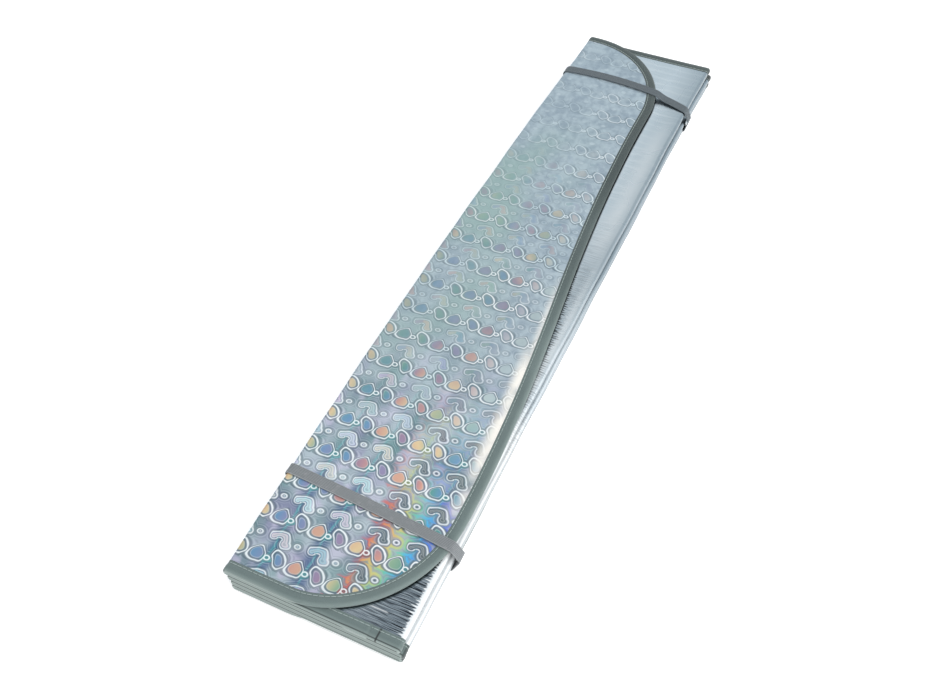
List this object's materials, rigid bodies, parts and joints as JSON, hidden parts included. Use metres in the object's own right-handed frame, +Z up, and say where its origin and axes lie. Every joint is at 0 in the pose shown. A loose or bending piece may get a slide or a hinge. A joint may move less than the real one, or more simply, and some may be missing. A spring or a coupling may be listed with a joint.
{
  "type": "windscreen sunshade",
  "caption": "Windscreen sunshade of film with a bound edge, folded flat like an accordion with curved end panels and held by elastic straps.",
  "frame": {"origin": "middle of the folded stack's footprint, on the surface that it lies on", "axes": "+Z up, +Y along the panels towards the end where the folds stand wider apart, +X towards the end panels' free contoured edge"},
  "size_m": [0.1608, 0.8012, 0.0359],
  "materials": {
    "film": "metallised film, glossy, with a faint pattern on one side",
    "tape": "woven binding tape, stitched",
    "elastic": "ribbed woven elastic"
  },
  "bodies": {
    "root": {"shade_sheet": "film", "edge_binding": "tape", "near_strap": "elastic", "far_strap": "elastic"}
  },
  "joints": []
}
